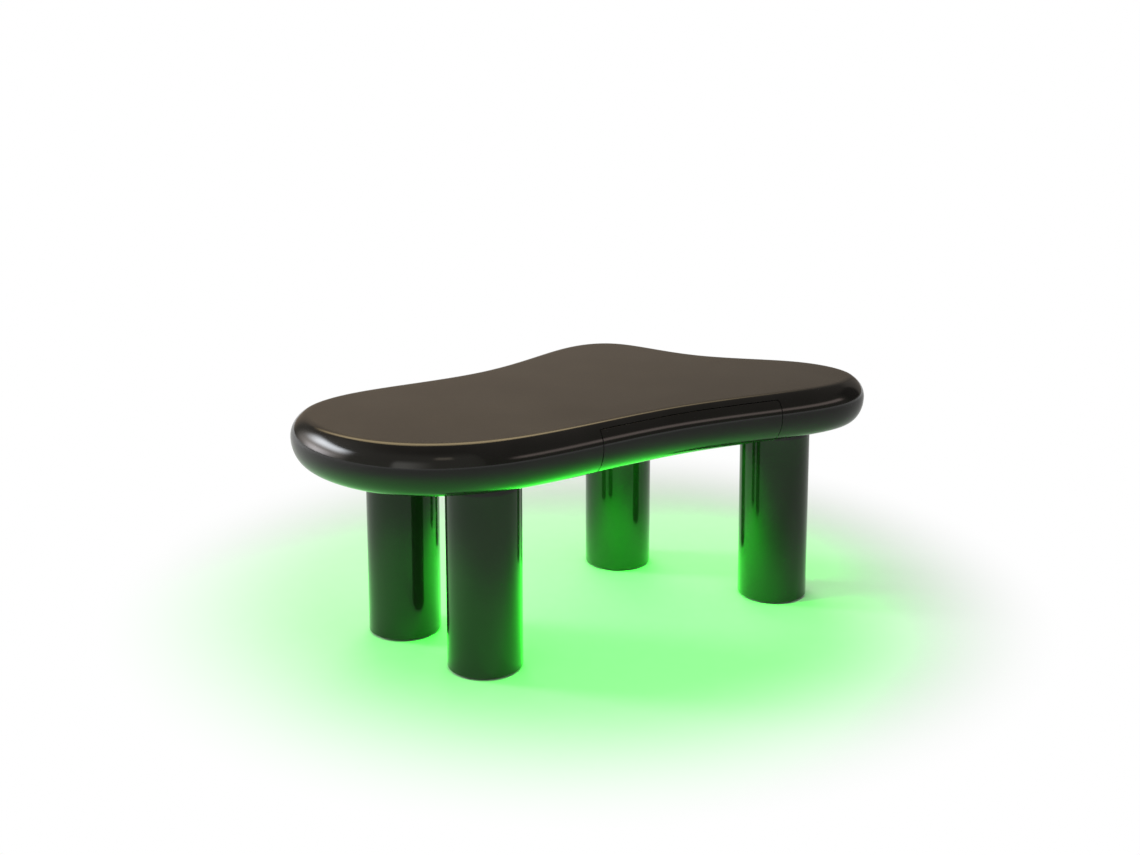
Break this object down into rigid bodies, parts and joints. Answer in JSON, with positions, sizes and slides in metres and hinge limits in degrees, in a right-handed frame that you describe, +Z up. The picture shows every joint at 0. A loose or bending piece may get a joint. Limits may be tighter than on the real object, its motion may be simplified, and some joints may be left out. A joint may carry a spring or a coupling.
{
  "type": "coffee table",
  "caption": "Low pebble-shaped coffee table on thick round legs, with a flush handle-less drawer in its rounded rim and a green light loop underneath.",
  "frame": {"origin": "on the floor, under the centre of the overall box", "axes": "+X along the length towards the end with the back lobe, -Y towards the drawer side, +Z up"},
  "size_m": [0.992, 0.5418, 0.4],
  "materials": {
    "lacquer": "black semi-gloss lacquer over fibreboard",
    "painted_board": "matt black painted fibreboard",
    "plywood": "clear sealed birch ply",
    "felt": "black wool felt",
    "plastic": "fine matt black",
    "steel": "zinc plated",
    "silicone": "white silicone",
    "lens": "milky silicone lit green",
    "circuit_board": "solder mask"
  },
  "bodies": {
    "table": {"table_top": "lacquer", "base_panel": "painted_board", "leg_back_left": "lacquer", "foot_disc_back_left": "plastic", "felt_pad_back_left": "felt", "leg_block_back_left": "plywood", "leg_bolt_back_left": "steel", "leg_nut_back_left": "steel", "leg_front_left": "lacquer", "foot_disc_front_left": "plastic", "felt_pad_front_left": "felt", "leg_block_front_left": "plywood", "leg_bolt_front_left": "steel", "leg_nut_front_left": "steel", "leg_back_right": "lacquer", "foot_disc_back_right": "plastic", "felt_pad_back_right": "felt", "leg_block_back_right": "plywood", "leg_bolt_back_right": "steel", "leg_nut_back_right": "steel", "leg_front_right": "lacquer", "foot_disc_front_right": "plastic", "felt_pad_front_right": "felt", "leg_block_front_right": "plywood", "leg_bolt_front_right": "steel", "leg_nut_front_right": "steel", "slide_cheek_left": "plywood", "slide_channel_left": "steel", "light_end_cap_left": "silicone", "controller_screw_left": "steel", "slide_cheek_right": "plywood", "slide_channel_right": "steel", "light_end_cap_right": "silicone", "controller_screw_right": "steel", "light_tube_body": "silicone", "light_tube_lens": "lens", "led_strip": "circuit_board", "light_lead": "plastic", "controller_case": "plastic", "controller_board": "circuit_board", "power_jack": "plastic", "light_clip_front": "steel", "light_clip_back": "steel", "light_clip_left": "steel", "light_clip_right": "steel"},
    "drawer": {"drawer_front": "lacquer", "drawer_front_screw_left": "steel", "drawer_front_screw_right": "steel", "drawer_side_left": "plywood", "drawer_side_right": "plywood", "drawer_box_front": "plywood", "drawer_back": "plywood", "drawer_bottom": "plywood", "slide_runner_left": "steel", "slide_runner_right": "steel"},
    "cage_left": {"ball_cage_left": "steel"},
    "cage_right": {"ball_cage_right": "steel"},
    "button": {"power_button": "plastic"}
  },
  "joints": [
    {"name": "drawer_slide", "type": "slide", "parent": "table", "child": "drawer", "axis": [0, -1, 0], "range_m": [0, 0.145]},
    {"name": "cage_left_slide", "type": "slide", "parent": "table", "child": "cage_left", "axis": [0, -1, 0], "range_m": [0, 0.0725]},
    {"name": "cage_right_slide", "type": "slide", "parent": "table", "child": "cage_right", "axis": [0, -1, 0], "range_m": [0, 0.0725]},
    {"name": "button_press", "type": "slide", "parent": "table", "child": "button", "axis": [0, 0, 1], "range_m": [0, 0.0012], "stiffness_N_per_m": 400}
  ],
  "couplings": [
    {"joint": "cage_left_slide", "follows": "drawer_slide", "ratio": 0.5},
    {"joint": "cage_right_slide", "follows": "drawer_slide", "ratio": 0.5}
  ]
}
